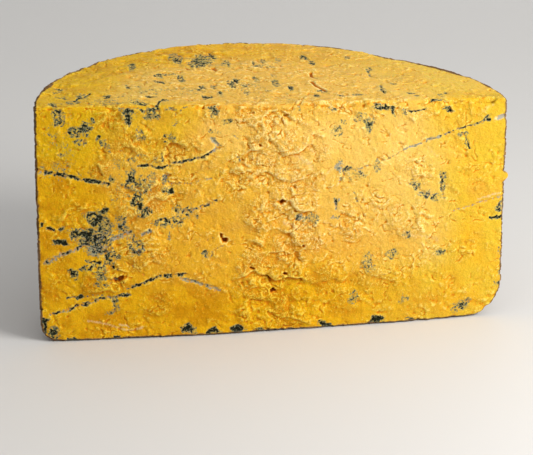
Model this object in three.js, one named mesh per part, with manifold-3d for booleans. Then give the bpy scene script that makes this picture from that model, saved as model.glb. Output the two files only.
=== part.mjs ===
// Half of a drum of blue-veined cheese. The drum was cut across at mid height, and then
// halved by one upright wire cut, so the piece has a flat base, a nearly level top, one
// tall cut face and the drum's own curved wall.
//
// Millimetres, +Z up. The base stands on Z = 0. +X runs along the cut face, which looks
// toward -Y. The origin is the middle of the piece's box at the base.

import * as THREE from 'three';
import { mergeVertices } from 'three/addons/utils/BufferGeometryUtils.js';
import Module from 'manifold-3d';

// Driving dimensions
const drumRadius = 105; // at the widest part of the wall
const height = 106.6; // base to the middle of the top cut
const topSlope = 2.75; // the top cut lies this much higher at -X, and lower at +X
const topFall = 0.8; // how much lower the top cut lies at the wall than in the middle
const topBreak = 1.2; // crumbled edge between the top cut and the wall
const baseRimRadius = 12; // rounded edge between the wall and the base
const wallTaper = 0.8; // how far the wall leans in from its widest part to the top cut
const bellyHeight = 46; // height of the widest part of the wall
const cutBehindAxis = 3; // the wire cut passes this far behind the drum's axis at the wall
const cutBow = 4.3; // how far the cut face swells out between its two ends

// Facets
const drumFacets = 120;
const rimSteps = 7;
const wallSteps = 6;
const cutFacets = 40;

const wasm = await Module();
wasm.setup();

function toSolid(geometry) {
  const bare = geometry.clone();
  bare.deleteAttribute('normal');
  bare.deleteAttribute('uv');
  const welded = mergeVertices(bare, 1e-4);
  return new wasm.Manifold(
    new wasm.Mesh({
      numProp: 3,
      vertProperties: new Float32Array(welded.attributes.position.array),
      triVerts: new Uint32Array(welded.index.array),
    }),
  );
}

function toGeometry(solid) {
  const mesh = solid.getMesh();
  const geometry = new THREE.BufferGeometry();
  geometry.setAttribute('position', new THREE.BufferAttribute(mesh.vertProperties, 3));
  geometry.setIndex(new THREE.BufferAttribute(mesh.triVerts, 1));
  return geometry;
}

// The whole drum, turned about its axis. The profile runs from the middle of the base, out
// to the rounded rim, up the wall and back over the top cut to the axis.
function drum() {
  const profile = [new THREE.Vector2(0, 0)];
  const rimCentre = drumRadius - baseRimRadius;
  for (let step = 0; step <= rimSteps; step += 1) {
    const angle = (step / rimSteps) * (Math.PI / 2);
    profile.push(new THREE.Vector2(
      rimCentre + baseRimRadius * Math.sin(angle),
      baseRimRadius * (1 - Math.cos(angle)),
    ));
  }
  profile.push(new THREE.Vector2(drumRadius, bellyHeight));
  const wallTop = height - topFall - topBreak;
  for (let step = 1; step <= wallSteps; step += 1) {
    const share = step / wallSteps;
    profile.push(new THREE.Vector2(
      drumRadius - wallTaper * share * share,
      bellyHeight + (wallTop - bellyHeight) * share,
    ));
  }
  const topRadius = drumRadius - wallTaper - topBreak;
  profile.push(new THREE.Vector2(topRadius, height - topFall));
  profile.push(new THREE.Vector2(topRadius / 2, height - topFall / 4));
  profile.push(new THREE.Vector2(0, height));
  const turned = new THREE.LatheGeometry(profile, drumFacets);
  turned.rotateX(Math.PI / 2); // the drum's axis from +Y to +Z
  return turned;
}

// Everything behind the wire cut: a tall block whose front is a shallow arc.
function behindTheCut() {
  const margin = 20;
  const reach = drumRadius + margin;
  const arcRadius = (drumRadius ** 2 + cutBow ** 2) / (2 * cutBow);
  const arcCentre = cutBehindAxis - cutBow + arcRadius;
  const sweep = Math.asin(reach / arcRadius);
  const outline = new THREE.Shape();
  outline.absarc(0, arcCentre, arcRadius, -Math.PI / 2 - sweep, -Math.PI / 2 + sweep, false);
  outline.lineTo(reach, reach);
  outline.lineTo(-reach, reach);
  outline.closePath();
  const block = new THREE.ExtrudeGeometry(outline, {
    depth: height + 2 * margin,
    curveSegments: cutFacets,
    bevelEnabled: false,
  });
  block.translate(0, 0, -margin);
  return block;
}

// Raises the top cut toward -X and lowers it toward +X, and leaves the base flat.
function slopeTheTop(geometry) {
  const position = geometry.attributes.position;
  for (let i = 0; i < position.count; i += 1) {
    const stretch = 1 - (topSlope / height) * (position.getX(i) / drumRadius);
    position.setZ(i, position.getZ(i) * stretch);
  }
}

function halfWheel() {
  const solid = toSolid(drum()).intersect(toSolid(behindTheCut()));
  const geometry = toGeometry(solid);
  slopeTheTop(geometry);
  const front = cutBehindAxis - cutBow;
  const back = drumRadius;
  geometry.translate(0, -(front + back) / 2, 0);
  geometry.computeVertexNormals();
  return geometry;
}

const cheese = new THREE.Mesh(
  halfWheel(),
  new THREE.MeshStandardMaterial({ color: 0xe9a83a, roughness: 0.75, metalness: 0 }),
);
cheese.name = 'cheese_half_wheel';

const group = new THREE.Group();
group.add(cheese);

export default group;
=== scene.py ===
"""A half wheel of blue-veined orange cheese on a pale studio floor.

The surface is worked out in millimetres in the row frame (x along the cut face, y into the
wheel, z up) and made into a mesh in metres.
"""

import math

import bpy
import numpy as np
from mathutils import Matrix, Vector
from mathutils.geometry import delaunay_2d_cdt


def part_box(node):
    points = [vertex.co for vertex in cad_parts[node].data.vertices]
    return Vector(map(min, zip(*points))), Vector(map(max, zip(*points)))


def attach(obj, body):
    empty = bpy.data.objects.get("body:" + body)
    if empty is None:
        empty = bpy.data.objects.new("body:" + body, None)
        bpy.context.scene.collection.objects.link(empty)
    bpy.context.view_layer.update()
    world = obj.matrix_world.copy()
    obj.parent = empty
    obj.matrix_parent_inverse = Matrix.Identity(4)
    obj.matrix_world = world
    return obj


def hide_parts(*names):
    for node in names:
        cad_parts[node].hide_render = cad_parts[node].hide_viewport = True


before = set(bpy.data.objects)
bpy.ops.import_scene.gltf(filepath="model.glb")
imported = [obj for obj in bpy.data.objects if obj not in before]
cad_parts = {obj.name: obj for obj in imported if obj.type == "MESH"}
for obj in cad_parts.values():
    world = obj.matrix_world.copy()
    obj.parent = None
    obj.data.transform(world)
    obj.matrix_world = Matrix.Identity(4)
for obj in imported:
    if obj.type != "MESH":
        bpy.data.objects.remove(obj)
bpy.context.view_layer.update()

MM = 0.001
CHEESE = "cheese_half_wheel"
low, high = (np.array(corner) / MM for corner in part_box(CHEESE))

# ---- the solid's driving sizes, in mm ----
RADIUS = (high[0] - low[0]) / 2
AXIS_Y = high[1] - RADIUS
CUT_BOW = 4.3  # how far the cut face swells out between its ends
CUT_BEHIND_AXIS = low[1] + CUT_BOW - AXIS_Y
TOP_SLOPE = 2.75  # the top is this much higher at -x, and lower at +x
TOP_FALL = 0.8  # the top is this much lower at the wall than at the wheel's axis
HEIGHT = high[2] - TOP_SLOPE + TOP_FALL  # at the wheel's axis
RIM_LEFT, RIM_BACK, RIM_RIGHT = 8.0, 12.0, 17.0  # rounded edge round the base
WALL_TAPER = 0.8  # the wall leans in by this much at its top

# ---- mesh fineness ----
COARSE = 1
CUT_COLUMNS = 560 // COARSE
SIDE_COLUMNS = 160 // COARSE  # of the wall, for each side of the top patch
RIM_ROWS = 38 // COARSE
WALL_ROWS = 252 // COARSE
BASE_SPACING = 4.0  # of the flat base's triangles

# ---- the camera's place and lens ----
VIEW_AZIMUTH = math.radians(-8.96)
VIEW_ELEVATION = math.radians(20.27)
VIEW_DISTANCE = 0.8808
VIEW_LENS = 135
VIEW_AIM = Vector((-0.0041, -0.0512, 0.0495))


def add_object(name, data):
    made = bpy.data.objects.new(name, data)
    bpy.context.scene.collection.objects.link(made)
    return made


def make_camera():
    camera = add_object("camera", bpy.data.cameras.new("camera"))
    back = Vector((
        math.sin(VIEW_AZIMUTH) * math.cos(VIEW_ELEVATION),
        -math.cos(VIEW_AZIMUTH) * math.cos(VIEW_ELEVATION),
        math.sin(VIEW_ELEVATION),
    ))
    camera.location = VIEW_AIM + VIEW_DISTANCE * back
    camera.rotation_euler = back.to_track_quat("Z", "Y").to_euler()
    camera.data.lens = VIEW_LENS
    camera.data.clip_start = 0.01
    bpy.context.scene.camera = camera


# ---- noise ----

HASH_STEPS = (0x8DA6B343, 0xD8163841, 0xCB1AB31F)
HASH_SEED = 0x9E3779B1
HASH_MIX = 0x5BD1E995


def scatter(cells, seed):
    """A number from 0 to 1 for each integer cell, the same on every run."""
    mixed = np.full(cells.shape[:-1], (seed * HASH_SEED) & 0xFFFFFFFF, np.uint32)
    for axis, step in enumerate(HASH_STEPS):
        mixed ^= cells[..., axis].astype(np.int64).astype(np.uint32) * np.uint32(step)
        mixed ^= mixed >> np.uint32(13)
        mixed *= np.uint32(HASH_MIX)
    mixed ^= mixed >> np.uint32(15)
    return mixed.astype(np.float32) / np.float32(2**32)


def smooth(share):
    share = np.clip(share, 0, 1)
    return share * share * (3 - 2 * share)


def ramp(value, start, end):
    """0 at start, 1 at end, smooth between them."""
    return smooth((value - start) / (end - start))


def noise(points, size, seed, octaves=1):
    """Smooth noise from -1 to 1 with lumps of this size; each octave halves them."""
    total, weight = 0, 0
    for octave in range(octaves):
        place = points * (2**octave / size) + 17.3 * octave
        cell = np.floor(place)
        blend = smooth(place - cell)
        value = 0
        for corner in np.ndindex(2, 2, 2):
            corner = np.array(corner)
            share = np.prod(np.where(corner, blend, 1 - blend), axis=-1)
            value = value + share * scatter(cell + corner, seed + octave)
        total = total + (2 * value - 1) / 2**octave
        weight += 1 / 2**octave
    return total / weight


def curds(points, size, seed, lean=0.0):
    """Irregular lumps: how far each point is inside its own lump, from 0 at its border, and
    the lump's level from -1 to 1, which rises towards its foot where lumps lean."""
    place = points / size
    cell = np.floor(place)
    near = second = np.full(len(points), 9.0)
    near_level = second_level = np.zeros(len(points))
    for step in np.ndindex(3, 3, 3):
        neighbour = cell + (np.array(step) - 1)
        gap = place - neighbour - np.stack([scatter(neighbour, seed + k) for k in range(3)], -1)
        distance = np.sqrt((gap**2).sum(-1))
        level = 2 * scatter(neighbour, seed + 3) - 1 - lean * gap[:, 2]
        closer = distance < near
        between = ~closer & (distance < second)
        second = np.where(closer, near, np.where(between, distance, second))
        second_level = np.where(closer, near_level, np.where(between, level, second_level))
        near = np.where(closer, distance, near)
        near_level = np.where(closer, level, near_level)
    inside = second - near
    own = 0.5 + 0.5 * ramp(inside, 0, 0.14)
    return inside, near_level * own + second_level * (1 - own)


def threads(points, size, seed, width):
    """1 on a net of irregular threads about this far apart, falling to 0 beside them."""
    return ramp(np.abs(noise(points, size, seed, 3)), width, 0)


def warped(points, reach, size, seed):
    """The points moved about by smooth noise, so that what is made on them is less regular."""
    moves = [noise(points, size, seed + 7 * axis) for axis in range(3)]
    return points + reach * np.stack(moves, -1)


# ---- the plain solid ----


def cut_y(x):
    """Where the cut face lies."""
    return AXIS_Y + CUT_BEHIND_AXIS - CUT_BOW * (1 - (x / RADIUS) ** 2)


def top_z(x, y):
    out = (x**2 + (y - AXIS_Y) ** 2) / RADIUS**2
    return HEIGHT - TOP_SLOPE * x / RADIUS - TOP_FALL * out


def on_cut(points):
    """Each point's place on the cut face, with its height as if the top were level."""
    x, _, z = points.T
    return x, z * HEIGHT / (HEIGHT - TOP_SLOPE * x / RADIUS)


def rim_radius(across):
    """The base's rounded edge: across is 1 at the +x end of the wall and -1 at the -x end."""
    ends = np.where(across > 0, RIM_RIGHT, RIM_LEFT)
    return RIM_BACK + (ends - RIM_BACK) * np.abs(across) ** 3


def wall_profile(across):
    """Radius and height of each row of the wall, from the base up, for a place round it."""
    rim = rim_radius(across)
    turn = np.linspace(0, np.pi / 2, RIM_ROWS + 1)[:, None]
    rim_rows = (RADIUS - rim * (1 - np.sin(turn)), rim * (1 - np.cos(turn)))
    share = np.linspace(0, 1, WALL_ROWS + 1)[1:, None]
    edge = HEIGHT - TOP_SLOPE * across - TOP_FALL
    taper = np.broadcast_to(WALL_TAPER * share**2, (WALL_ROWS, rim.shape[1]))
    wall_rows = (RADIUS - taper, rim + (edge - rim) * share)
    return [np.concatenate(pair) for pair in zip(rim_rows, wall_rows)]


CUT_END_ROUNDS = 4  # enough for the wall's ends to meet the bowed cut face


def wall_grid():
    """The wall's points, from the +x end of the cut face round the back to the -x end."""
    share = np.linspace(0, 1, CUT_COLUMNS + 2 * SIDE_COLUMNS + 1)[None]
    radius, height = wall_profile(np.cos(np.pi * share))
    start = np.zeros_like(radius)
    for _ in range(CUT_END_ROUNDS):
        start = np.arcsin((cut_y(radius * np.cos(start)) - AXIS_Y) / radius)
    angle = start + (np.pi - 2 * start) * share
    return np.stack([radius * np.cos(angle), AXIS_Y + radius * np.sin(angle), height], -1)


def cut_grid(wall):
    """The cut face's points, between the wall's two ends."""
    share = np.linspace(0, 1, CUT_COLUMNS + 1)[None, :, None]
    points = wall[:, -1:] * (1 - share) + wall[:, :1] * share
    points[..., 1] = cut_y(points[..., 0])
    return points


def top_stretches(edge):
    """The wall's top edge in three: the top patch's +x side, -x side and back."""
    side, back = SIDE_COLUMNS + 1, edge[SIDE_COLUMNS : SIDE_COLUMNS + CUT_COLUMNS + 1]
    return edge[:side], edge[::-1][:side], back[::-1]


def top_grid(cut, wall):
    """The top's points, filled in between the cut's top edge and three stretches of the wall's."""
    front = cut[-1]
    right, left, back = top_stretches(wall[-1])
    u = np.linspace(0, 1, CUT_COLUMNS + 1)[None, :, None]
    v = np.linspace(0, 1, SIDE_COLUMNS + 1)[:, None, None]
    sides = (1 - u) * left[:, None] + u * right[:, None]
    ends = (1 - v) * front[None] + v * back[None]
    low_corners = (1 - u) * front[0] + u * front[-1]
    high_corners = (1 - u) * back[0] + u * back[-1]
    points = sides + ends - (1 - v) * low_corners - v * high_corners
    points[..., 2] = top_z(points[..., 0], points[..., 1])
    points[0], points[-1], points[:, 0], points[:, -1] = front, back, left, right
    return points


class Skin:
    """The closed surface: its points, its faces, and each face corner's place on the map."""

    def __init__(self):
        self.points = np.zeros((0, 3))
        self.corners, self.sizes, self.map = [], [], []

    def add_points(self, points):
        start = len(self.points)
        self.points = np.concatenate([self.points, points.reshape(-1, 3)])
        return np.arange(start, len(self.points)).reshape(points.shape[:-1])

    def add_faces(self, index, place):
        """One face for each row of point numbers; place is each corner's place on the map."""
        self.corners.append(index.reshape(-1))
        self.map.append(place.reshape(-1, 2))
        self.sizes.append(np.full(len(index), index.shape[1]))

    def add_grid(self, *grids):
        """Four-sided faces over a grid of point numbers and its grid of places on the map."""
        rows, columns = np.array(grids[0].shape) - 1
        ring = ((0, 0), (0, 1), (1, 1), (1, 0))
        index, place = (
            np.stack([grid[r : rows + r, c : columns + c] for r, c in ring], 2) for grid in grids
        )
        self.add_faces(index.reshape(-1, 4), place)

    def close(self):
        self.corners = np.concatenate(self.corners)
        self.map = np.concatenate(self.map)
        self.sizes = np.concatenate(self.sizes)
        self.starts = np.cumsum(self.sizes) - self.sizes
        after = np.arange(1, len(self.corners) + 1)
        after[self.starts + self.sizes - 1] = self.starts
        self.after = self.corners[after]
        self.count = np.bincount(self.corners, minlength=len(self.points))

    def averaged(self, values, rounds):
        """values, each mixed with its neighbours' this many times."""
        flat = values.reshape(len(values), -1)
        for _ in range(rounds):
            total = []
            for column in flat.T:
                pulled = np.bincount(self.corners, column[self.after], len(flat))
                pushed = np.bincount(self.after, column[self.corners], len(flat))
                total.append((pulled + pushed) / (2 * self.count))
            flat = (flat + np.stack(total, -1)) / 2
        return flat.reshape(values.shape)


MAP_SIDE = 345.0  # the map is a square of this many mm
MAP_GAP = 4.0


def map_places(wall, cut, top):
    """Where each patch lies on the map: the wall across the foot, then the cut and the top."""
    turn = np.arctan2(wall[..., 1] - AXIS_Y, wall[..., 0])
    along = turn - turn.min()
    reach = np.cumsum(np.linalg.norm(np.diff(wall[:, 0], axis=0, prepend=wall[:1, 0]), axis=-1))
    wall_place = np.stack([along * RADIUS, np.broadcast_to(reach[:, None], along.shape)], -1)
    wall_place += MAP_GAP
    floor = wall_place[..., 1].max() + MAP_GAP
    cut_place = cut[..., [0, 2]] + (RADIUS + MAP_GAP, floor)
    floor = cut_place[..., 1].max() + MAP_GAP
    top_place = top[..., :2] + (RADIUS + MAP_GAP, floor - low[1])
    return [place / MAP_SIDE for place in (cut_place, wall_place, top_place)]


def base_faces(skin, rim_index):
    """Fills the flat base inside its rim with even triangles."""
    rim = skin.points[rim_index][:, :2]
    across, back = (-RADIUS, RADIUS), (low[1], high[1])
    x, y = np.meshgrid(*(np.arange(*ends, BASE_SPACING) for ends in (across, back)))
    x[1::2] += BASE_SPACING / 2
    reach = np.hypot(x, y - AXIS_Y) + BASE_SPACING / 2
    clear = (reach < RADIUS - RIM_RIGHT) & (y > cut_y(x) + BASE_SPACING / 2)
    inner = np.stack([x[clear], y[clear]], -1)
    flat = [Vector(place) for place in np.concatenate([rim, inner])]
    faces = delaunay_2d_cdt(flat, [], [list(range(len(rim)))], 1, 1e-6)[2]
    index = np.concatenate([rim_index, skin.add_points(np.pad(inner, ((0, 0), (0, 1))))])
    faces = index[np.array([face for face in faces if len(face) == 3])]
    a, b, c = (skin.points[faces[:, k]][:, :2] for k in range(3))
    upward = np.cross(b - a, c - a) > 0
    faces[upward] = faces[upward][:, ::-1]
    # on the map the base stands on its end, beside the cut and the top
    place = skin.points[faces][..., [1, 0]]
    place += (MAP_SIDE - MAP_GAP - high[1], MAP_SIDE - MAP_GAP - RADIUS)
    skin.add_faces(faces, place / MAP_SIDE)


def plain_skin():
    skin = Skin()
    wall = wall_grid()
    cut = cut_grid(wall)
    top = top_grid(cut, wall)
    cut_index = skin.add_points(cut)
    wall_index = np.empty(wall.shape[:2], int)
    wall_index[:, 1:-1] = skin.add_points(wall[:, 1:-1])
    wall_index[:, 0] = cut_index[:, -1]
    wall_index[:, -1] = cut_index[:, 0]
    top_index = np.empty(top.shape[:2], int)
    top_index[1:-1, 1:-1] = skin.add_points(top[1:-1, 1:-1])
    top_index[0] = cut_index[-1]
    top_index[:, -1], top_index[:, 0], top_index[-1] = top_stretches(wall_index[-1])

    for grids in zip((cut_index, wall_index, top_index), map_places(wall, cut, top)):
        skin.add_grid(*grids)
    base_faces(skin, np.concatenate([cut_index[0], wall_index[0, 1:-1]]))
    skin.close()
    return skin


# ---- what is on each face ----

# Places on the cut face are x and height in mm, with height counted as if the top were level.
# A route is the places it passes, one after another.

# Torn patches of the cut face: (x, height, half width, half height, how torn)
TORN_PATCHES = (
    (-3, 84, 14, 16, 0.7), (14, 92, 10, 12, 0.45), (10, 66, 13, 12, 0.8), (-6, 58, 10, 9, 0.9),
    (-2, 26, 17, 22, 1), (2, 8, 20, 9, 0.8), (14, 44, 10, 12, 0.9), (-18, 72, 9, 12, 0.7),
    (-8, 101, 20, 5, 0.7), (-73, 99, 10, 5, 0.7), (-62, 88, 16, 9, 0.55), (-42, 88, 12, 8, 0.6),
    (-52, 66, 12, 9, 0.65), (-64, 62, 9, 9, 0.7), (-76, 78, 6, 4, 0.6), (-76, 29, 12, 8, 0.75),
    (-57, 42, 13, 9, 0.65), (-53, 16, 9, 6, 0.4), (-88, 57, 9, 8, 0.5), (-95, 30, 8, 5, 0.35),
    (-40, 74, 9, 8, 0.5), (38, 52, 13, 10, 0.7), (64, 76, 11, 9, 0.75), (60, 50, 14, 12, 0.8),
    (74, 64, 10, 9, 0.6), (94, 102, 10, 6, 0.75), (94, 12, 11, 10, 0.85), (85, 34, 10, 9, 0.55),
    (60, 101, 14, 5, 0.5), (32, 104, 16, 4, 0.5), (86, 88, 9, 8, 0.45), (40, 80, 9, 6, 0.5),
    (35, 25, 22, 20, 0.7), (62, 20, 16, 14, 0.6), (24, 80, 8, 10, 0.35), (45, 64, 9, 7, 0.4),
)

# Pits in the cut face, painted with shade inside: (x, height, half width, half height, depth)
PITS = (
    (-24.6, 47.6, 0.9, 1.7, 1.8), (-23.4, 45.2, 1.5, 1, 2.2), (3.2, 61.5, 1.9, 1.2, 1.8),
    (-7, 88, 0.7, 0.6, 1.2), (-70, 28.4, 3, 1.5, 1.6), (-60.5, 63.5, 1.4, 1.1, 1.5),
    (-75.5, 41.5, 1.3, 1.1, 1.4), (-61, 41, 1.3, 0.9, 1), (-99, 51.5, 1, 0.8, 1),
    (77.5, 101.5, 0.9, 1.2, 1.4), (-90, 31, 1.4, 0.8, 1.1), (-1, 20, 1.7, 1.2, 1.4),
    (12, 40, 1, 0.8, 1.2), (-11, 31, 1.1, 0.7, 1.2), (4, 28, 1.3, 0.8, 1.2),
)

# Needle tracks and long veins: (route, half width, how dark, how pale)
CUT_VEINS = (
    ((-105, 78.3, -99.5, 77.6), 1.5, 0, 0.55),
    ((-99.5, 77.5, -92, 75.6, -84, 74, -76, 73, -73, 71.6), 1, 1, 0.25),
    ((-100, 13, -92, 15), 0.95, 0.6, 0.5), ((-92, 15, -84, 17.6, -78, 19.2), 1.1, 0.95, 0.35),
    ((-78, 19.2, -74, 19.8, -68, 20.6, -65, 21.2), 0.8, 0.9, 0.3),
    ((-93, 20, -87, 20.8, -80, 21.2, -74, 20.6), 0.5, 0.5, 0.1),
    ((-66.5, 23.8, -60, 26, -55, 28, -50, 29, -45, 29.6, -40, 29.6), 0.95, 1, 0.15),
    ((-43, 27.6, -37, 26, -31, 23.6, -25, 21.4), 0.95, 0.45, 0.75),
    ((-60, 79.4, -54, 79.6, -50, 78.6, -46, 79.2), 0.8, 0.8, 0.2),
    ((-46, 80.6, -38, 82, -32, 83.6, -28, 85.8), 0.8, 0.8, 0.4),
    ((-28, 85.8, -25.4, 88.4, -27.6, 91), 1.3, 0.45, 0.75),
    ((-48.5, 76, -47, 71, -42, 71.4, -36, 71.6, -31, 72.8, -28, 74), 0.6, 0.35, 0.5),
    ((-55, 54.4, -50, 55.6, -46, 54.2, -42, 54.4), 0.8, 0.8, 0.3),
    ((-41, 58.6, -36, 60.2, -30, 62, -26.5, 63.2), 0.85, 0.65, 0.5),
    ((-102, 36.6, -96, 39.2, -90, 41.8, -83, 45), 1.15, 0.68, 0.7),
    ((-73, 46.4, -68, 48.4, -64, 50.4), 1.25, 0.55, 0.9), ((-58.6, 48.4, -55.6, 50.2), 1, 0.55, 1),
    ((-84, 37, -78, 36, -72, 34.2, -67, 31), 0.6, 0.8, 0.2),
    ((-67, 36, -62, 33, -57, 29.4), 0.45, 0.3, 0.3), ((106, 98, 100, 96.8), 1.2, 0, 0.9),
    ((96, 96, 92, 95, 86, 93.5, 82, 92.2, 77, 90.6), 0.75, 0.95, 0.3),
    ((77, 90.6, 73, 89, 68, 87.6, 62, 85.2, 57, 83.6), 0.55, 0.4, 0.9),
    ((57, 83.6, 50, 80.4, 44, 77.6, 37, 75.8, 29, 75), 0.6, 0.4, 0.35),
    ((106, 59.6, 97, 57.4, 88, 55.2, 80, 53), 0.7, 0.05, 0.4), ((105, 49.6, 98, 48.6), 0.8, 1, 0),
    ((58, 101.5, 61, 101.4, 66, 101.8), 0.55, 0.75, 0.2),
    ((-31, 39, -29, 37, -27, 41, -24, 42.6), 0.5, 0.5, 0.3),
    ((-63, 107, -65, 103.4, -62.6, 99.6), 0.9, 0.9, 0.1),
    ((-62, 106.6, -58, 104.4, -54, 102, -51.6, 106), 0.75, 0.85, 0.1),
    ((-44, 102, -41.6, 104.6, -38.5, 106), 0.5, 0.8, 0.1),
    ((28.4, 77, 30, 73.4, 27.8, 69.4), 0.8, 0.35, 0.5),
    ((30, 74.6, 35, 75.6, 38.5, 73.4), 0.6, 0.4, 0.4),
    ((34, 65.4, 35.6, 63, 36.6, 60.6), 0.6, 0.45, 0.5), ((26.6, 62, 27, 58.4), 0.8, 0.4, 0.8),
    ((59.5, 67.6, 64, 64.4, 69, 61.4), 0.8, 0.45, 0.4), ((74, 72, 74.6, 66, 76, 60), 0.75, 0.45, 0.35),
    ((83, 90, 86, 87, 87.4, 82.6), 0.6, 0.7, 0.1), ((-20.6, 94, -17, 91.4), 0.5, 0.4, 0.6),
)

# Clusters of mould: (x, height, half width, half height, how dark, and how pale if it is)
CUT_MOULD = (
    (-94, 102.5, 3.4, 3.2, 0.9, 0.2), (-93.5, 99.4, 3, 1.6, 0.8, 0.2), (-87, 95, 3.8, 3, 0.9, 0.1),
    (-82.5, 96.5, 3.6, 4.6, 0.95, 0.2), (-79.5, 100, 1.6, 1.4, 0.9), (-84.5, 89.5, 3, 2, 0.6),
    (-76.5, 92, 1.2, 1.1, 0.9), (-73.6, 88.5, 1.8, 3.6, 0.7), (-94, 85, 3, 1.4, 0.5),
    (-63.5, 103.5, 3.2, 5, 0.9, 0.1), (-53, 103.6, 4, 3.4, 0.8, 0.1), (-45.5, 105, 3.4, 1.4, 0.6),
    (-27.5, 104, 3.4, 3.8, 0.85, 0.1), (-22, 98, 1.6, 1.2, 0.7), (-27, 94.6, 3.4, 1.4, 0.5, 0.2),
    (-58, 94, 2.4, 2.6, 0.6, 0.2), (-46, 93.5, 2.8, 2, 0.7, 0.1), (-47.6, 89.4, 1.2, 1, 0.9),
    (-63.4, 83, 3, 1.4, 0.7, 0.1), (-50.6, 83, 1.2, 2.4, 0.7), (-71.4, 75, 1.8, 2, 0.7),
    (-63.4, 73, 2.4, 5.4, 0.95, 0.2), (-60.6, 64.5, 3.2, 5, 0.95), (-57.4, 58.6, 3.8, 2.4, 0.95),
    (-67, 54.5, 3, 5.2, 0.85, 0.5), (-75, 60, 2.6, 1.8, 1.05), (-73, 56.5, 2, 3, 0.6),
    (-80, 56.4, 5.6, 3, 1.02, 0.15), (-93.4, 52.2, 2, 2, 0.7, 0.1), (-99, 51.6, 2.2, 1.2, 1.15),
    (-103, 53.4, 1.2, 1, 1.15), (-76, 52, 7, 3.6, 0.75, 0.2), (-94.4, 45.6, 3.6, 1.6, 1.12),
    (-84, 48.4, 7, 4.4, 0.9, 0.4), (-78, 45.6, 7.4, 6.4, 0.95, 0.7), (-73.4, 39.4, 3.6, 5.4, 1, 0.3),
    (-80, 42.6, 5, 3, 0.6, 0.8), (-61.4, 44.4, 3.6, 4.4, 0.75, 0.7), (-90, 31.6, 2.2, 2.6, 0.95),
    (-83, 34.6, 5.6, 2.4, 0.8, 0.1), (-77.6, 32, 4.4, 3.4, 0.8), (-77, 26.6, 4, 2, 0.6),
    (-71, 28.4, 3.4, 1.2, 0.7), (-71.8, 17, 2, 4, 0.8), (-74.6, 13, 2.4, 1.4, 0.7),
    (-87, 20.6, 1.8, 1, 0.95), (-103.6, 8, 2.2, 6, 1.12, 0.1), (-98.6, 4, 3, 3.2, 1.1, 0.2),
    (-102.4, 11.4, 2.8, 1.4, 1.2, 0.2), (-91, 1, 2.4, 1.4, 1.2), (-72, 0.8, 2.4, 1.2, 1.1),
    (-40, 3, 4, 2.6, 1.15), (-29.5, 1.6, 4.4, 1.8, 1.2), (-18, 2, 3.6, 2.2, 1.2), (-8, 1, 3, 1.2, 1),
    (22, 1.4, 4, 1.8, 1.15), (46, 1.6, 3, 1.6, 1.1), (63, 1, 3, 1.2, 0.9),
    (-46.6, 69, 3, 2.4, 0.85, 0.2), (-48.4, 73.6, 2, 2.4, 0.6, 0.6), (-50.6, 54.4, 4, 2.4, 0.85, 0.2),
    (-44, 54.4, 3.6, 2.4, 0.7, 0.2), (-39, 58.4, 4.4, 3.2, 0.85, 0.3), (-47.4, 48, 1.2, 2.8, 0.6, 0.6),
    (-43.6, 60.8, 1.8, 1.6, 0.7), (-35.6, 56, 2, 1.6, 0.7, 0.1), (-31, 39, 2, 2, 0.6, 0.2),
    (-17, 82, 1.6, 1.4, 0.5, 0.2), (-58, 70, 5, 6, 0.5), (-55, 74, 4, 4, 0.45),
    (10.6, 54, 2.6, 1.8, 0.85, 0.9), (15.4, 53, 4.4, 3.6, 0.5, 0.2), (26.6, 60, 2.2, 3, 0.75, 0.9),
    (27, 53.4, 2, 2.4, 0.55, 0.8), (28.4, 77.4, 2.4, 2, 0.55, 1), (35.6, 72.4, 4.4, 2.4, 0.6, 0.5),
    (45.6, 77, 2, 3.4, 0.5, 0.3), (31, 75.4, 4, 1.4, 0.6, 0.5), (26, 93.4, 3.6, 2, 0.75, 0.2),
    (28.6, 97.6, 2.2, 1.8, 0.65, 0.2), (24.6, 103.4, 2.6, 1.6, 0.6, 0.6),
    (36.8, 99, 2.4, 2.6, 0.6, 0.2), (41, 96, 2, 4.2, 0.55, 0.1), (9, 104.6, 3, 2, 0.4, 0.1),
    (46.4, 103.6, 5.4, 3, 1, 0.4), (52.4, 102, 1.4, 3, 0.95), (57.6, 101.8, 2.2, 1.8, 0.8, 0.3),
    (77.6, 101.4, 2, 1.8, 0.9, 0.1), (72, 106.4, 4, 0.8, 0.8), (83.6, 89.6, 2.4, 1.6, 0.6, 0.2),
    (86.4, 85.6, 1.6, 3, 0.7), (66.6, 62, 4, 2.4, 0.7, 0.5), (61.4, 66.6, 2.8, 2, 0.65, 0.3),
    (72.6, 61, 3.4, 2, 0.6, 0.4), (75, 68, 2, 4.4, 0.75, 0.2), (103.4, 54.4, 2.8, 3.4, 0.85, 0.7),
    (100.6, 48.8, 3.4, 1.2, 1.15), (104.6, 27, 1.2, 8, 0.7, 0.6), (102.4, 15.6, 3, 1.2, 0.8, 0.5),
    (74, 34, 4, 1.6, 0.7, 0.2), (86, 6, 4.6, 2.8, 0.8, 0.2), (89.4, 8.4, 1.8, 1.2, 0.9),
    (82, 3, 2, 2, 0.8), (104.4, 106, 1, 3, 0.9), (95, 96.6, 2, 1, 0.8, 0.2), (60, 43, 2.6, 2, 0.5, 0.2),
    (42, 30, 4, 5, 0.7, 0.1), (52, 34, 3, 2, 0.6, 0.1), (36, 14, 3, 4, 0.5), (58, 12, 3, 3, 0.5),
)

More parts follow.
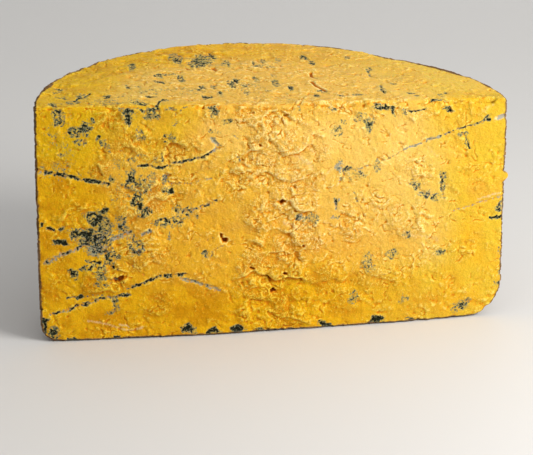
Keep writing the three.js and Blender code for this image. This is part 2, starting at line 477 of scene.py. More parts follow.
# Cream smears: (route, half width, how strong)
CUT_SMEARS = (
    ((-84, 9.4, -76, 7.4, -70, 5.2, -65, 4.4, -60, 5.6), 0.9, 0.7), ((-70, 7, -66, 6), 0.6, 0.8),
    ((104, 97.6, 99, 96.4), 1.5, 1), ((9, 83, 13, 80.4, 16, 76.6), 2.2, 0.55),
    ((12, 88, 17, 84), 1.4, 0.5), ((-12, 87, -8, 90), 1.6, 0.4), ((-14, 78, -8, 84, -4, 80), 2.4, 0.35),
    ((58, 44, 66, 41.6, 73, 40), 2, 0.5), ((42, 58, 50, 55, 56, 57), 2.4, 0.4),
    ((92, 58, 103, 60.6), 0.7, 0.7), ((4, 52, 9, 49.6), 1.6, 0.6), ((68, 84, 72, 80), 1.6, 0.4),
    ((93, 101, 97, 103.6), 1.8, 0.5), ((20, 72, 26, 77), 1.4, 0.5), ((-30, 92, -26, 88.4), 0.9, 0.5),
)

# Streaks on the top, where places are x and y: (route, half width, how dark, how pale)
TOP_VEINS = (
    ((-94, -31, -90, -36), 0.6, 0.5, 0.5), ((-79, -29, -82, -35, -86, -41), 0.8, 0.7, 0.1),
    ((-91, -42, -87, -46, -84, -43), 0.5, 0.6, 0.4), ((-49, -12, -45, -17), 0.6, 0.8, 0),
    ((-52, -51, -50, -45, -47, -41), 0.8, 0.8, 0), ((-13, -12, -12, -18), 0.6, 0.6, 0),
    ((0, 18, 0, 10, 8, 9, 16, 9), 0.7, 0.4, 0.1), ((-25, -20, -23, -26), 0.6, 0.5, 0.3),
    ((-30, -36, -28, -42, -26, -38), 0.6, 0.6, 0.2), ((-18, 36, -16.6, 28), 0.7, 0.6, 0),
    ((-34, -24, -30, -27, -30, -22), 0.6, 0.6, 0.2), ((52, 4, 50, -10), 0.7, 0.4, 0.3),
    ((52, -25, 50.6, -33, 51, -39), 0.7, 0.5, 0.2), ((-62, -46, -57, -48), 0.7, 0.8, 0),
)

# Clusters of mould on the top: (x, y, half width, half depth, how dark, and how pale if it is)
TOP_MOULD = (
    (-56.5, 12, 1.8, 8, 0.85, 0.1), (-34.5, 26, 3.6, 9, 0.7, 0.1), (-20.5, 26, 6, 7, 0.85),
    (-27, 17, 4.4, 8, 0.6, 0.1), (-22, 16, 4, 5, 0.6), (-12.5, 15, 2.6, 6, 0.6), (5, 19, 1.4, 4, 0.8),
    (12.5, 21, 1.8, 4, 0.5, 0.2), (4, 10, 7, 2.4, 0.4), (25.6, 24, 1.8, 4.4, 0.85),
    (27.6, 15, 1.8, 4.4, 0.8), (45.4, 23, 2, 4, 0.45, 0.2), (-45.6, -4.4, 1.8, 4, 0.9),
    (-41, -2, 4, 2.4, 0.5, 0.1), (-36.4, -9, 1.8, 6, 0.85), (-47, -14, 3, 3, 0.75),
    (-15, -20, 1.8, 7, 1), (-12.4, -14, 2, 3.4, 0.7), (-9.4, -22, 1.8, 4, 0.5, 0.1),
    (-3, -13, 1.5, 5, 0.8), (6, -7, 1.6, 4, 0.55, 0.3), (5, -20, 2.2, 6, 0.6, 0.1),
    (-61, -21, 1.4, 3.6, 0.7), (-56, -21, 2, 2.4, 0.5, 0.4), (-93.4, -23, 3.6, 4, 0.95),
    (-91, -34, 3, 2, 0.5, 0.4), (-82, -34, 3.4, 5, 0.6, 0.1), (-87, -42, 3, 3, 0.5, 0.2),
    (-71.6, -35, 2, 2.6, 1), (-66, -36, 3.4, 1.2, 0.5), (-96, -46, 2, 6, 0.8, 0.1),
    (-59, -47, 4, 2.4, 0.8), (-53, -37, 3, 1.6, 0.7), (-47.6, -43, 2, 3.6, 0.75),
    (-29, -24, 2, 3.6, 0.55, 0.2), (-23.4, -24, 1.8, 4, 0.6, 0.1), (-29, -40, 2.2, 4.4, 0.65, 0.2),
    (-22, -35, 1.6, 4.4, 0.6, 0.1), (-10, -34, 1.6, 3.4, 0.6), (10, -29, 1.4, 4.4, 0.8),
    (23, -34, 2.6, 2.2, 0.9, 0.2), (20, -41, 1.8, 4, 0.5, 0.1), (31, -43, 3, 2, 0.6, 0.3),
    (37.6, -40, 3, 1.6, 0.6, 0.2), (51, -34, 1.8, 6, 0.5, 0.2), (51, 0, 1.8, 5, 0.45, 0.2),
    (57, -24, 2.2, 2.2, 0.5, 0.3), (62, -40, 2, 2, 0.5, 0.1), (64, -44, 1.6, 1.8, 0.6),
    (75, -43, 1.8, 3, 0.5, 0.1), (73, -49.6, 4, 1.8, 0.9, 0.1), (78, -39, 1.6, 1.8, 0.6, 0.2),
    (-75, -43, 24, 7, 0.24), (-42, -30, 22, 8, 0.24), (-8, -26, 16, 12, 0.22), (-24, 18, 22, 14, 0.2),
    (8, 16, 16, 10, 0.15), (-2, -44, 14, 5, 0.2), (30, -38, 16, 6, 0.2),
)

# Cracks across the top, painted deep orange to dark brown inside as shade: (route, half width, depth)
TOP_CRACKS = (
    ((21, -19, 22, -26, 24.4, -33), 1, 1.6), ((24, -3, 23, -9, 25, -13), 0.9, 0.9),
    ((-19, 9, -18.6, 5), 1.4, 0.9), ((-32, 9, -31, 5), 1, 0.6),
)


def route_gap(u, v, route):
    """Distance from each place to a route of straight stretches."""
    gap = np.full(u.shape, 1e9)
    for u0, v0, u1, v1 in zip(route[::2], route[1::2], route[2::2], route[3::2]):
        du, dv = u1 - u0, v1 - v0
        share = np.clip(((u - u0) * du + (v - v0) * dv) / (du * du + dv * dv), 0, 1)
        gap = np.minimum(gap, np.hypot(u - u0 - share * du, v - v0 - share * dv))
    return gap


def oval_gap(u, v, patch):
    """Distance from the middle of an oval patch, where 1 is its edge."""
    return np.hypot((u - patch[0]) / patch[2], (v - patch[1]) / patch[3])


def patch_cover(u, v, patch):
    """1 inside an oval patch, falling to 0 outside it."""
    return ramp(oval_gap(u, v, patch), 1.35, 0.45)


def over(old, new):
    return 1 - (1 - old) * (1 - np.clip(new, 0, 1))


# ---- relief and marks ----

FACE_FADE = 1.5  # a face's relief carries on about this far behind it, round its edges
EDGE_WEAR = 1.6  # edges are rounded within about this distance
WEAR_ROUNDS = 24 // COARSE**2
FINE_ROUNDS, BROAD_ROUNDS = 10 // COARSE**2, 130 // COARSE**2
RIND_DEPTH = 0.9  # how thick the rind looks where it is cut
CHIP_DEPTH, CHIP_WIDTH = 2.3, 2.4  # of the chips along the edge between the cut and the top
GOLD_FULL, GOLD_NONE = 20, 45  # depths below the rind between which the paste pales
HOLE_RADIUS, HOLE_DEPTH, HOLE_SPACING = 1.1, 2.4, 22
HOLE_RINGS = (31, 78)  # the heights of the rings of needle holes
FLAKE = np.array([RADIUS - 0.4, AXIS_Y + CUT_BEHIND_AXIS + 0.6, 66.5])  # stands out at the +x end
FLAKE_SIZE, FLAKE_RISE = 3, 1.7
RELIEF_MOST = 0.9  # a face's own relief rises no further than this
LEAST_WEIGHT = 0.02  # a face's relief is left out where it counts for less
TOP_MOULD_GAIN, TOP_MOULD_MOST = 1.35, 0.85  # for the clusters on the top
MARKS = ("mould", "pale", "pit_shade_and_rind_stain", "smear", "torn")  # as each face's layer gives them


def drum_depth(points):
    """How far each point is inside the drum's wall and rounded base edge, and which way is out."""
    x, y, z = points[:, 0], points[:, 1] - AXIS_Y, points[:, 2]
    reach = np.maximum(np.hypot(x, y), 1e-6)
    rim = rim_radius(x / RADIUS)
    out = np.maximum(reach - (RADIUS - rim), 0)
    down = np.maximum(rim - z, 0)
    span = np.maximum(np.hypot(out, down), 1e-6)
    taper = WALL_TAPER * np.clip((z - rim) / (HEIGHT - rim), 0, 1) ** 2
    way = np.stack([out * x / reach, out * y / reach, -down], -1) / span[:, None]
    depth = np.where((out > 0) & (down > 0), rim - span, np.minimum(RADIUS - reach, z))
    return np.maximum(depth - taper, 0), way


def veins(u, v, routes):
    """How dark and how pale each place is made by veins, and how deep they cut."""
    dark = pale = groove = np.zeros_like(u)
    for route, half, darkness, paleness in routes:
        gap = route_gap(u, v, route) / half
        dark = np.maximum(dark, ramp(gap, 1.45, 0.25) * darkness)
        pale = np.maximum(pale, ramp(gap, 1.35, 0.5) * paleness)
        groove = np.maximum(groove, ramp(gap, 1.1, 0.1) * half)
    return dark, pale, groove


def clusters(u, v, patches, gain=1, most=9):
    """How dark and how pale each place is made by clusters of mould."""
    dark = pale = np.zeros_like(u)
    for patch in patches:
        cover = patch_cover(u, v, patch)
        dark = np.maximum(dark, np.minimum(gain * cover * patch[4], most))
        if len(patch) == 6:
            pale = np.maximum(pale, cover * patch[5])
    return dark, pale


def flakes(points, size, seed, steps, octaves):
    """Broken shelves: smooth noise cut into flat steps."""
    level = steps * noise(points, size, seed, octaves)
    shelf = np.floor(level)
    return (shelf + ramp(level - shelf, 0.33, 0.67)) / steps


def paste_relief(points, torn):
    """Broken curd: leaning lumps and flakes where it is torn, a finer crumb elsewhere."""
    moved = warped(points, 2.2, 5, 41) * (0.85, 1, 1.2)
    _, lump = curds(moved, 10, 43, lean=1.3)
    gate = ramp(noise(points, 8, 45, 2), -0.3, 0.35)
    large = flakes(moved, 9, 47, 3.4, 3)
    small = flakes(moved, 4.2, 51, 2.6, 2)
    crumb = flakes(points, 1.9, 53, 2, 2)
    crumbly = ramp(noise(points, 7, 57, 2), -0.1, 0.4)
    crack = threads(moved, 5, 63, 0.08) * ramp(noise(points, 4, 65, 2), 0, 0.3)
    broken = 0.55 * lump + 1.05 * large + (0.3 + 0.6 * gate) * small
    broken += (0.1 + 0.5 * gate) * crumb - 0.7 * crack
    calm = 0.16 * large + 0.4 * crumbly * small + (0.06 + 0.42 * crumbly) * crumb - 0.45 * crack
    grain = 0.07 * noise(points, 1.2, 59, 1)
    return torn * broken + (1 - torn) * calm + grain - 0.2 * torn


def blotched(points, strength):
    """Turns the strength of mould into a net of threads and spots, solid where it is over 1."""
    moved = warped(points, 1.2, 3, 69)
    net = np.maximum(threads(moved, 3.4, 71, 0.17), 0.9 * threads(moved, 1.7, 73, 0.17))
    spots = ramp(noise(points, 2.2, 75, 3), 0.08, 0.34)
    clumps = ramp(noise(points, 3.4, 79, 2), 0.02, 0.3) * ramp(strength, 0.7, 0.95)
    reach = ramp(strength + 0.45 * noise(points, 2.6, 77, 2), 0.08, 0.42)
    score = 0.2 + 0.77 * net + 0.44 * spots + 0.32 * clumps
    score = reach * np.minimum(strength, 1) * score + 0.8 * ramp(strength, 1, 1.15)
    return np.minimum(score, 1)


def cut_layer(points):
    x, height = on_cut(points)
    torn = np.zeros_like(x)
    for patch in TORN_PATCHES:
        torn = over(torn, patch[4] * patch_cover(x, height, patch))
    torn *= 1 - 0.4 * ramp(x, 22, 40)
    torn += 0.12 * ramp(x, -20, -55)
    torn = ramp(torn + 0.42 * noise(points, 12, 31, 3) + 0.06, 0.22, 0.85)
    relief = paste_relief(points, torn) + (0.75 * noise(points, 34, 33, 2) - 0.45)

    wander = warped(warped(points, 0.6, 4, 35), 0.4, 1.1, 36)
    u, v = on_cut(wander)
    strength, pale = clusters(*on_cut(warped(wander, 1.7, 4, 34)), CUT_MOULD)
    spread = noise(points, 16, 37, 2)
    stray = ramp(spread + 0.35 * ramp(x, 30, -70), 0.18, 0.7) * ramp(x, 20, -40)
    strength = np.maximum(strength, 0.26 * stray * ramp(height, 28, 48))
    mould = blotched(points, strength)
    beads = 0.66 + 0.8 * noise(points, 0.9, 39) + 0.4 * noise(points, 3, 38)
    dark, lining, groove = veins(u, v, CUT_VEINS)
    mould = np.maximum(mould, 0.95 * ramp(dark * beads, 0.05, 0.8))
    frayed = ramp(noise(points, 1.6, 46, 2), -0.7, 0)
    pale = np.maximum(pale * ramp(noise(points, 2.2, 40, 2), -0.35, 0.3), lining * frayed)
    relief -= 0.4 * groove + 0.3 * mould * (0.5 + noise(points, 1.6, 42))

    smear = pit_shade_and_rind_stain = np.zeros_like(x)
    for route, half, strong in CUT_SMEARS:
        smear = np.maximum(smear, strong * ramp(route_gap(u, v, route) / half, 1.3, 0.2))
    ragged = 0.9 * noise(points, 2, 44, 2)
    for pit in PITS:
        gap = oval_gap(u, v, pit) + ragged
        relief -= 0.8 * pit[4] * ramp(gap, 1.15, 0.4)
        # painted shade in the pit
        pit_shade_and_rind_stain = np.maximum(pit_shade_and_rind_stain, ramp(gap, 1.2, 0.5))
    return relief, (mould, pale, pit_shade_and_rind_stain, smear, torn)


def top_layer(points):
    x, y, _ = points.T
    torn = ramp(noise(points, 13, 81, 3) + 0.25 * ramp(y, low[1] + 16, low[1] + 2), 0.28, 0.75)
    relief = paste_relief(points, (0.35 + 0.4 * torn) * (1 - 0.7 * ramp(x, 10, 55)))
    relief += 0.35 * noise(points, 30, 83, 2) - 0.1
    edge, _ = drum_depth(points)
    wear = 1.3 * ramp(np.abs(x - 74), 34, 0) * ramp(y, low[1] + 15, 10)
    wear += 0.8 * ramp(np.abs(x + 76), 26, 0) * ramp(y, low[1] + 15, 0)
    wear -= 0.5 * ramp(np.abs(x), 60, 20) * ramp(y, 10, 40)
    relief -= wear * ramp(edge, 22, 0)

    u, v, _ = warped(points, 0.9, 4, 85).T
    dark, pale, groove = veins(u, v, TOP_VEINS)
    hazy = noise(points, 26, 87, 2) + 0.5 * ramp(x, 90, -60)
    strength, cluster_pale = clusters(u, v, TOP_MOULD, TOP_MOULD_GAIN, TOP_MOULD_MOST)
    strength = np.maximum(strength, 0.16 * ramp(hazy, -0.05, 0.6))
    pale = np.maximum(pale, cluster_pale)
    mould = blotched(points * (0.75, 1, 1), strength * ramp(edge, 3, 10))
    beads = 0.75 + 0.7 * noise(points, 2.2, 89, 2)
    mould = np.maximum(mould, ramp(dark * beads, 0, 0.6))
    relief -= 0.3 * groove + 0.2 * mould

    pit_shade_and_rind_stain = np.zeros_like(x)
    for route, half, depth in TOP_CRACKS:
        gap = route_gap(u, v, route) / half
        relief -= depth * ramp(gap, 1.1, 0.1)
        # painted shade in the crack
        pit_shade_and_rind_stain = np.maximum(pit_shade_and_rind_stain, ramp(gap, 1.1, 0.3))
    smear = 0.4 * ramp(noise(points, 7, 86, 3), 0.3, 0.6)
    return relief, (mould, 0.7 * pale, 0.8 * pit_shade_and_rind_stain, smear, torn)


def drum_layer(points):
    """The rind: rough and wrinkled, mouldy in places, pierced by two rings of needle holes."""
    x, y, z = points.T
    turn = np.arctan2(y - AXIS_Y, x) * RADIUS
    relief = 0.55 * noise(points * (1, 1, 0.7), 30, 91, 2) - 0.3
    relief += 0.3 * noise(points, 6, 93, 3)
    relief -= 0.55 * threads(points * (0.6, 0.6, 1.5), 11, 95, 0.07)
    relief -= 0.3 * threads(points * (0.7, 0.7, 1.6), 5, 96, 0.1)
    inside, lump = curds(warped(points, 1.4, 4, 97), 3.4, 99)
    relief += 0.16 * lump - 0.15 * ramp(inside, 0.25, 0)
    mould = ramp(noise(points, 17, 101, 3), 0.12, 0.5) * ramp(noise(points, 3, 103, 3), -0.4, 0.35)
    pale = ramp(noise(points * (1, 1, 1.3), 15, 105, 5), -0.25, 0.6)
    pit_shade_and_rind_stain = ramp(noise(points, 12, 107, 3), 0.1, 0.6)
    for ring, height in enumerate(HOLE_RINGS):
        shifted = turn / HOLE_SPACING + 0.5 * ring
        number = np.round(shifted)
        place = np.stack([number, 0 * number + ring, 0 * number], -1)
        along = (shifted - number) * HOLE_SPACING + 3 * scatter(place, 109) - 1.5
        gap = np.hypot(along, z - height - 4 * scatter(place, 110) + 2) / HOLE_RADIUS
        relief -= HOLE_DEPTH * ramp(gap, 1.2, 0.5)
        relief += 0.25 * ramp(np.abs(gap - 1.6), 0.6, 0)
        mould = np.maximum(mould, ramp(gap, 1.5, 0.7))
    none = np.zeros_like(turn)
    return relief, (mould, pale, pit_shade_and_rind_stain, none, none)


def shape_cheese(skin):
    """Gives every point its final place and its marks."""
    plain = skin.points
    x, y, z = plain.T
    depth, outward = drum_depth(plain)
    cut_depth = np.maximum(y - cut_y(x), 0)
    top_depth = np.maximum(top_z(x, y) - z, 0)
    edge = np.sort([depth, cut_depth, top_depth], axis=0)[1]
    reach = EDGE_WEAR * (1 + 0.9 * ramp(noise(plain, 11, 115, 3), 0, 0.5))
    worn = np.exp(-((edge / reach) ** 2))[:, None]
    placed = plain + worn * (skin.averaged(plain, WEAR_ROUNDS) - plain)
    brow = np.hypot(cut_depth, top_depth)
    chipped = ramp(noise(plain * (0.8, 1, 1), 7, 117, 3), 0, 0.3)
    chipped *= np.exp(-((brow / CHIP_WIDTH) ** 2))
    placed += CHIP_DEPTH * chipped[:, None] * (0, 0.6, -0.8)

    marks = {name: np.zeros(len(plain)) for name in MARKS}
    share = np.zeros(len(plain))
    relief = np.zeros(len(plain))
    layers = (
        (cut_layer, cut_depth, (0, -1, 0)),
        (top_layer, top_depth, (0, 0, 1)),
        (drum_layer, depth, outward),
    )
    for layer, inward, way in layers:
        weight = np.exp(-inward / FACE_FADE)
        near = weight > LEAST_WEIGHT
        height, found = layer(plain[near])
        rise = weight[near] * np.minimum(height, RELIEF_MOST)
        placed[near] += rise[:, None] * np.broadcast_to(way, plain.shape)[near]
        relief[near] += rise
        hold = weight[near] ** 3
        for name, values in zip(MARKS, found):
            marks[name][near] += hold * values
        share[near] += hold
    for name in MARKS:
        marks[name] /= share

    flake = ramp(np.linalg.norm(plain - FLAKE, axis=-1) / FLAKE_SIZE, 1, 0.3)
    placed += FLAKE_RISE * flake[:, None] * outward
    placed[:, 2] = np.maximum(placed[:, 2], 0)
    ragged = depth + 0.45 * noise(plain, 2.4, 111, 2)
    ragged -= (0.5 + 1.5 * ramp(noise(plain, 13, 119, 2), -0.1, 0.3)) * ramp(y, -48, -28)
    marks["rind"] = ramp(ragged, RIND_DEPTH + 0.35, RIND_DEPTH - 0.35) * (1 - flake)

    mellow = noise(plain, 24, 113, 2)
    on_top = ramp(top_depth, 10, 0)
    gold = ramp(depth + 9 * mellow, GOLD_NONE, GOLD_FULL) * (1 - 0.25 * ramp(x, 0, 80))
    gold *= 1 - 0.5 * ramp(cut_depth, 4, 20) * ramp(x, -30, 40)
    warm = 0.55 * ramp(x + 0.5 * (z - 75) + 14 * mellow, 6, -30) * ramp(cut_depth, 10, 0)
    upper = ramp(x + 10 * mellow, -28, -56) * ramp(z, 76, 92) * ramp(cut_depth, 12, 2)
    marks["gold"] = over(over(over(gold, warm), 0.65 * upper), 0.2 * on_top)
    patchy = 0.75 + 0.8 * noise(plain, 10, 121, 2)
    lemon = np.maximum(ramp(x + 12 * mellow, 15, 85), 0.6 * over(upper, on_top * ramp(x, -25, -65)))
    marks["lemon"] = np.clip(lemon * patchy, 0, 1)
    marks["bright"] = ramp(z + 0.2 * x + 14 * mellow, 42, 92) * (0.84 - 0.5 * on_top)
    # painted shade and highlight: how far each point lies below or above the relief round it, which the
    # material paints darker in crevices and lighter on crests
    fine = relief - skin.averaged(relief, FINE_ROUNDS)
    broad = relief - skin.averaged(relief, BROAD_ROUNDS)
    marks["shade_and_highlight"] = 1.6 * fine + 0.16 * broad
    return placed, marks


# ---- the piece ----


def make_piece():
    skin = plain_skin()
    points, marks = shape_cheese(skin)
    mesh = bpy.data.meshes.new("half_wheel")
    mesh.vertices.add(len(points))
    mesh.vertices.foreach_set("co", (points * MM).ravel().astype(np.float32))
    mesh.loops.add(len(skin.corners))
    mesh.loops.foreach_set("vertex_index", skin.corners.astype(np.int32))
    mesh.polygons.add(len(skin.sizes))
    mesh.polygons.foreach_set("loop_start", skin.starts.astype(np.int32))
    mesh.update(calc_edges=True)
    mesh.polygons.foreach_set("use_smooth", np.ones(len(skin.sizes), bool))
    places = mesh.uv_layers.new(name="OFBake")
    places.data.foreach_set("uv", skin.map.ravel().astype(np.float32))
    for name, values in marks.items():
        attribute = mesh.attributes.new(name, "FLOAT", "POINT")
        attribute.data.foreach_set("value", values.astype(np.float32))
    if mesh.validate():
        raise RuntimeError("the half wheel's mesh has faulty faces")
    mesh.materials.append(cheese_material())
    return add_object("half_wheel", mesh)


# ---- material ----


class Shader:
    """Builds a material's nodes; sizes are in mm."""

    def __init__(self, name):
        self.material = bpy.data.materials.new(name)
        self.material.use_nodes = True
        self.tree = self.material.node_tree
        self.tree.nodes.clear()
        self.surface = self.node("ShaderNodeBsdfPrincipled")
        output = self.node("ShaderNodeOutputMaterial")
        self.put(output.inputs["Surface"], self.surface.outputs["BSDF"])
        places = self.node("ShaderNodeTexCoord").outputs["Object"]
        self.place = self.vector("MULTIPLY", places, (1 / MM, 1 / MM, 1 / MM))

    def node(self, kind, **settings):
        made = self.tree.nodes.new(kind)
        for name, value in settings.items():
            setattr(made, name, value)
        return made

    def put(self, socket, value):
        """A number, a colour or another node's output goes into a socket."""
        if isinstance(value, bpy.types.NodeSocket):
            self.tree.links.new(value, socket)
        elif isinstance(value, tuple) and len(socket.default_value) == 4:
            socket.default_value = (*value, 1)
        else:
            socket.default_value = value

    def set(self, name, value):
        self.put(self.surface.inputs[name], value)

    def fill(self, made, *values):
        """Values go into a node's first sockets, in order."""
        for socket, value in zip(made.inputs, values):
            self.put(socket, value)
        return made.outputs[0]

    def vector(self, operation, *values):
        return self.fill(self.node("ShaderNodeVectorMath", operation=operation), *values)

    def math(self, operation, *values):
        return self.fill(self.node("ShaderNodeMath", operation=operation), *values)

    def plus(self, first, second):
        return self.math("ADD", first, second)

    def times(self, first, second):
        return self.math("MULTIPLY", first, second)

    def centred(self, value):
        """A value from 0 to 1, moved to run from -0.5 to 0.5."""
        return self.math("SUBTRACT", value, 0.5)

    def mark(self, name):
        return self.node("ShaderNodeAttribute", attribute_name=name).outputs["Fac"]

    def noise(self, size, detail=2, roughness=0.5, offset=0, stretch=(1, 1, 1)):
        """Noise from 0 to 1 with lumps of this size."""
        place = self.vector("MULTIPLY", self.place, tuple(s / size for s in stretch))
        place = self.vector("ADD", place, (offset, 2 * offset, -offset))
        return self.fill(self.node("ShaderNodeTexNoise"), place, 0, 1, detail, roughness)

    def flakes(self, size, steps, offset=0):
        """Noise cut into flat steps: its height, and 1 along each step's brow and -1 at its foot, for
        painted highlight on brows and painted shade at feet.
        """
        level = self.times(self.noise(size, 2, 0.5, offset), steps)
        share = self.math("FRACT", level)
        height = self.plus(self.math("FLOOR", level), self.ramp(share, 0.35, 0.65))
        brow = self.times(self.ramp(share, 0.5, 0.65), self.ramp(share, 0.98, 0.75))
        foot = self.times(self.ramp(share, 0.5, 0.35), self.ramp(share, 0.02, 0.25))
        return self.math("DIVIDE", height, steps), self.math("SUBTRACT", brow, foot)

    def ramp(self, value, start, end, low=0, high=1):
        """low where the value is at start, high where it is at end, smooth between them."""
        made = self.node("ShaderNodeMapRange", interpolation_type="SMOOTHSTEP")
        return self.fill(made, value, start, end, low, high)

    def cover(self, under, colour, value, start, end, most=1):
        """The colour lies over the one under it, by up to most, as the value nears end."""
        return self.mix(self.ramp(value, start, end, 0, most), under, colour)

    def mix(self, share, first, second, blend="MIX"):
        made = self.node("ShaderNodeMix", data_type="RGBA", blend_type=blend)
        self.put(made.inputs[0], share)
        self.put(made.inputs[6], first)
        self.put(made.inputs[7], second)
        return made.outputs[2]


# ---- colours, linear ----
PASTE = (0.78, 0.47, 0.08)
PASTE_WARM = (0.77, 0.41, 0.05)
PASTE_PALE = (0.87, 0.56, 0.14)
PASTE_LEMON = (0.74, 0.485, 0.095)
GOLD = (0.75, 0.405, 0.006)
GOLD_DEEP = (0.58, 0.262, 0.003)
GOLD_LEMON = (0.67, 0.425, 0.008)
# painted highlight for raised crests of the paste
CREST_HIGHLIGHT = (0.95, 0.74, 0.29)
SMEAR = (0.86, 0.68, 0.4)
# painted highlight for raised crests of the golden paste
GOLD_CREST_HIGHLIGHT = (0.84, 0.58, 0.06)
# painted shade for crevices, pits and cracks, also the colour of the random orange specks
ORANGE_AND_CREVICE_SHADE = (0.68, 0.225, 0.007)
# painted shade for the deepest crevices, pits and cracks
DEEP_SHADE = (0.13, 0.012, 0.0015)
MOULD_STAIN = (0.33, 0.29, 0.1)
MOULD_EDGE = (0.13, 0.17, 0.12)
MOULD_DARK = (0.003, 0.005, 0.0035)
VEIN_PALE = (0.3, 0.32, 0.28)
VEIN_BLUE = (0.16, 0.19, 0.18)
RIND = (0.14, 0.07, 0.027)
RIND_LIGHT = (0.25, 0.145, 0.066)
RIND_DARK = (0.055, 0.028, 0.014)
BLOOM = (0.36, 0.29, 0.21)
RIND_MOULD = (0.075, 0.085, 0.065)


def cheese_material():
    """Paste, with painted highlight on its crests, painted shade in its crevices, pits and cracks, and
    mould laid over it, and the rind.
    """
    s = Shader("blue veined cheese")
    mottle = s.noise(9, 3, 0.55, 3.1)
    grain = s.noise(1.1, 3, 0.6, 1.3)
    speck = s.noise(0.55, 2, 0.6, 5.9)
    gold = s.mark("gold")
    torn = s.mark("torn")

    lemon = s.mark("lemon")
    bright = s.plus(s.mark("bright"), s.centred(mottle))
    paste = s.cover(PASTE_WARM, PASTE, bright, 0, 0.5)
    paste = s.cover(paste, PASTE_PALE, bright, 0.5, 1.1)
    paste = s.mix(s.times(torn, 0.3), paste, PASTE_WARM)
    paste = s.mix(lemon, paste, PASTE_LEMON)
    golden = s.cover(GOLD, GOLD_DEEP, mottle, 0.38, 0.66)
    golden = s.mix(lemon, golden, GOLD_LEMON)
    colour = s.mix(gold, paste, golden)
    crest_highlight = s.mix(gold, CREST_HIGHLIGHT, GOLD_CREST_HIGHLIGHT)

    # step brows get painted highlight and step feet painted shade
    crumbs, step_highlight_shade = s.flakes(2.4, 8, 14.2)
    nicks, nick_highlight_shade = s.flakes(1.2, 6, 40.1)
    step_highlight_shade = s.plus(step_highlight_shade, s.times(nick_highlight_shade, 0.4))
    crumbs = s.plus(crumbs, s.times(nicks, 0.22))
    crumbly = s.ramp(s.noise(6, 2, 0.5, 27.5), 0.42, 0.6, 0.35, 1)
    reach = s.times(s.plus(0.09, s.times(torn, 0.2)), crumbly)
    # this level gives painted highlight where it is high and painted shade where it is low
    level = s.plus(s.mark("shade_and_highlight"), s.times(step_highlight_shade, reach))
    coarse = s.plus(0.55, s.times(torn, 0.4))
    level = s.plus(level, s.times(s.centred(grain), coarse))
    smeared = s.plus(s.mark("smear"), s.centred(grain))
    colour = s.cover(colour, SMEAR, smeared, 0.25, 1.1, 0.7)
    orange = s.ramp(s.noise(1.8, 2, 0.6, 33.1), 0.6, 0.7, 0, 0.6)
    colour = s.mix(s.times(orange, s.ramp(torn, 0, 1, 0.45, 1)), colour, ORANGE_AND_CREVICE_SHADE)
    # painted highlight on raised crumbs, crests and step brows
    colour = s.cover(colour, crest_highlight, level, 0.06, 0.38, 0.9)
    # painted shade: deep orange in crevices and at step feet, dark brown in the deepest
    colour = s.cover(colour, ORANGE_AND_CREVICE_SHADE, level, -0.1, -0.42, 0.92)
    colour = s.cover(colour, DEEP_SHADE, level, -0.6, -1.3, 0.95)
    # painted shade in pits and cracks, left off the rind
    pit_shade_and_rind_stain = s.times(s.mark("pit_shade_and_rind_stain"), s.math("SUBTRACT", 1, s.mark("rind")))
    colour = s.cover(colour, ORANGE_AND_CREVICE_SHADE, pit_shade_and_rind_stain, 0.1, 0.5, 0.8)
    colour = s.cover(colour, DEEP_SHADE, pit_shade_and_rind_stain, 0.6, 1, 0.9)
    colour = s.mix(1, colour, s.ramp(speck, 0.25, 0.75, 0.88, 1.1), "MULTIPLY")

    fuzz = s.times(s.centred(s.noise(1, 2, 0.8, 21.3)), 2.6)
    mould = s.plus(s.mark("mould"), fuzz)
    pale = s.plus(s.mark("pale"), fuzz)
    lined = s.ramp(s.mark("pale"), 0.05, 0.3)
    colour = s.mix(s.times(lined, s.ramp(pale, 0.3, 0.8, 0, 0.85)), colour, VEIN_PALE)
    present = s.ramp(s.mark("mould"), 0.03, 0.22)
    colour = s.mix(s.times(present, s.ramp(mould, 0, 0.45, 0, 0.65)), colour, MOULD_STAIN)
    edge = s.cover(MOULD_EDGE, VEIN_BLUE, pale, 0.1, 0.6)
    colour = s.mix(s.times(present, s.ramp(mould, 0.35, 0.68, 0, 0.9)), colour, edge)
    colour = s.mix(s.times(present, s.ramp(mould, 0.56, 0.9, 0, 0.98)), colour, MOULD_DARK)

    rind = rind_colour(s, grain, fuzz)
    is_rind = s.mark("rind")
    s.set("Base Color", s.mix(is_rind, colour, rind))

    roughness = s.ramp(mould, 0.3, 0.7, s.ramp(grain, 0.3, 0.7, 0.46, 0.66), 0.86)
    left = s.math("SUBTRACT", 0.9, roughness)
    s.set("Roughness", s.plus(roughness, s.times(is_rind, left)))
    s.set("Subsurface Weight", 0.22)
    s.set("Subsurface Radius", (1, 0.45, 0.1))
    s.set("Subsurface Scale", 2.2 * MM)
    s.set("IOR", 1.45)
    s.set("Specular IOR Level", 0.24)
    s.set("Specular Tint", (1, 0.74, 0.16))
    add_bump(s, torn, grain, speck, crumbs, is_rind)
    return s.material


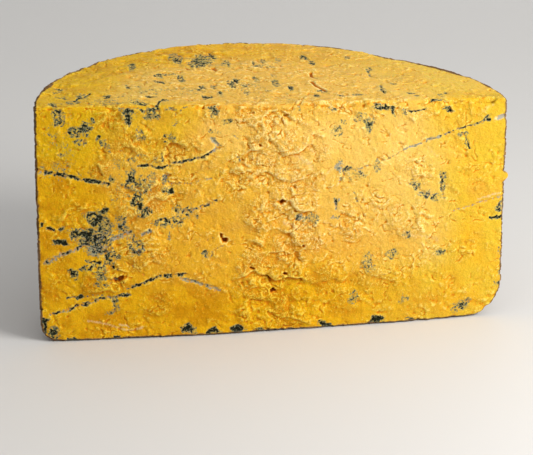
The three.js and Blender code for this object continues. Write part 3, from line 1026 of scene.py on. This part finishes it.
def rind_colour(s, grain, fuzz):
    wide = s.noise(16, 4, 0.6, 12.5, stretch=(1, 1, 1.5))
    small = s.noise(2.6, 4, 0.65, 4.4)
    rind = s.cover(RIND, RIND_LIGHT, wide, 0.38, 0.66)
    rind = s.cover(rind, RIND_DARK, small, 0.5, 0.7, 0.8)
    rind = s.cover(rind, RIND_DARK, s.mark("pit_shade_and_rind_stain"), 0.2, 0.8, 0.6)
    powder = s.plus(s.times(fuzz, 0.35), s.centred(small))
    # pale bloom where the rind is pale, plus painted highlight on its raised parts
    bloom_and_highlight = s.plus(s.mark("pale"), s.plus(powder, s.mark("shade_and_highlight")))
    rind = s.cover(rind, BLOOM, bloom_and_highlight, 0, 1.2, 0.6)
    mould = s.plus(s.mark("mould"), fuzz)
    rind = s.cover(rind, RIND_MOULD, mould, 0.35, 0.7, 0.85)
    # painted shade in the rind's hollows
    rind = s.cover(rind, RIND_DARK, s.mark("shade_and_highlight"), -0.15, -0.8, 0.8)
    return s.mix(1, rind, s.ramp(grain, 0.25, 0.75, 0.75, 1.2), "MULTIPLY")


def add_bump(s, torn, grain, speck, crumbs, is_rind):
    """Fine relief below the mesh's own: grain all over, more of it on torn paste and on rind."""
    fine = s.noise(0.28, 2, 0.6, 7.7)
    reach = s.plus(0.1, s.times(torn, 0.16))
    reach = s.plus(reach, s.times(is_rind, 0.2))
    lumps = s.times(s.plus(grain, s.times(speck, 0.6)), reach)
    height = s.plus(lumps, s.times(fine, 0.045))
    crumbled = s.plus(0.5, s.times(torn, 0.9))
    height = s.plus(height, s.times(crumbs, crumbled))
    bump = s.node("ShaderNodeBump")
    s.put(bump.inputs["Strength"], 1)
    s.put(bump.inputs["Distance"], MM)
    s.put(bump.inputs["Height"], height)
    s.set("Normal", bump.outputs["Normal"])


# ---- studio ----

FLOOR_COLOUR = (0.66, 0.648, 0.63)
FLAT_RADIUS, BOWL_RADIUS, BOWL_HEIGHT = 1.4, 3.4, 2  # the floor's, in metres


def make_floor():
    """A pale sweep: a flat disc that curves up all round."""
    rings, spokes = 40, 96
    turn = np.linspace(0, np.pi / 2, rings)
    radius = np.concatenate([[0.05], FLAT_RADIUS + (BOWL_RADIUS - FLAT_RADIUS) * np.sin(turn)])
    height = np.concatenate([[0], BOWL_HEIGHT * (1 - np.cos(turn))])
    angle = np.linspace(0, 2 * np.pi, spokes, endpoint=False)
    points = [(r * math.cos(a), r * math.sin(a), z) for r, z in zip(radius, height) for a in angle]
    faces = [
        (near + i, near + j, near + spokes + j, near + spokes + i)
        for near in range(0, rings * spokes, spokes)
        for i, j in zip(range(spokes), (*range(1, spokes), 0))
    ]
    faces.append(tuple(range(spokes)))
    mesh = bpy.data.meshes.new("floor")
    mesh.from_pydata(points, [], faces)
    mesh.polygons.foreach_set("use_smooth", [True] * len(faces))
    s = Shader("pale paper")
    s.set("Base Color", FLOOR_COLOUR)
    s.set("Roughness", 0.8)
    s.set("Specular IOR Level", 0.2)
    mesh.materials.append(s.material)
    add_object("floor", mesh)


def make_light(name, place, aim, size, power, colour):
    light = bpy.data.lights.new(name, "AREA")
    light.size = size
    light.energy = power
    light.color = colour
    holder = add_object(name, light)
    holder.location = place
    holder.rotation_euler = (Vector(place) - Vector(aim)).to_track_quat("Z", "Y").to_euler()


def make_studio():
    make_floor()
    make_light("key", (0.5, -0.42, 0.41), (0, 0, 0.05), size=0.36, power=5.8, colour=(1, 0.985, 0.96))
    make_light("backdrop", (0.35, 0.8, 0.6), (0.4, 0.66, 0), size=0.4, power=0.9, colour=(1, 1, 1))
    world = bpy.data.worlds.new("studio")
    world.use_nodes = True
    background = world.node_tree.nodes["Background"]
    background.inputs["Color"].default_value = (1, 1, 1, 1)
    background.inputs["Strength"].default_value = 0.66
    bpy.context.scene.world = world
    bpy.context.scene.view_settings.view_transform = "Standard"


make_camera()
cheese = make_piece()
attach(cheese, "root")
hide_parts(CHEESE)
make_studio()
